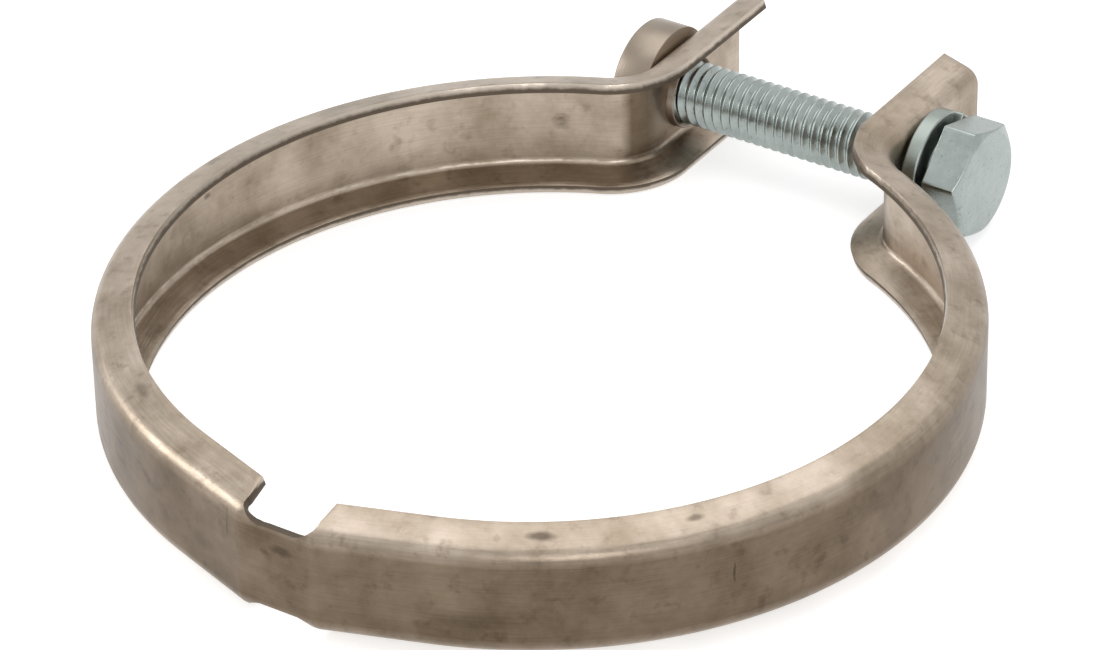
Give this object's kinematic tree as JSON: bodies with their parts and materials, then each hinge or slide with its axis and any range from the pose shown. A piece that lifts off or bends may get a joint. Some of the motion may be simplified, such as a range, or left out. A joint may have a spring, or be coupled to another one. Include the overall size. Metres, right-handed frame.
{
  "type": "v-profile band clamp",
  "caption": "Open sheet-metal V-profile band clamp with one hex bolt, a split lock washer and a round nut pressed into its ear.",
  "frame": {"origin": "on the axis of the clamped flanges, half way up the band", "axes": "+Z along the axis of the clamped flanges, +X along the bolt from nut to head, +Y from the folding notch to the bolt"},
  "size_m": [0.1014, 0.122, 0.0154],
  "materials": {
    "band": "satin",
    "nut": "satin",
    "bolt": "satin",
    "washer": "satin"
  },
  "bodies": {
    "nut_side": {"nut_side_band": "band", "round_nut": "nut"},
    "bolt_side": {"bolt_side_band": "band"},
    "washer": {"lock_washer": "washer"},
    "bolt": {"hex_bolt": "bolt"}
  },
  "joints": [
    {"name": "bolt_travel", "type": "slide", "parent": "nut_side", "child": "washer", "axis": [-1, 0, 0], "range_m": [0, 0.015]},
    {"name": "bolt_turn", "type": "hinge", "parent": "washer", "child": "bolt", "pos_m": [0, 0.05748, 0], "axis": [-1, 0, 0], "range_deg": [0, 4320]},
    {"name": "band_hinge", "type": "hinge", "parent": "nut_side", "child": "bolt_side", "pos_m": [0, -0.05133, 0], "axis": [0, 0, 1], "range_deg": [0, 9.05]}
  ],
  "couplings": [
    {"joint": "bolt_turn", "follows": "bolt_travel", "rad_per_m": 5026.5},
    {"joint": "band_hinge", "follows": "bolt_travel", "rad_per_m": 10.526}
  ]
}
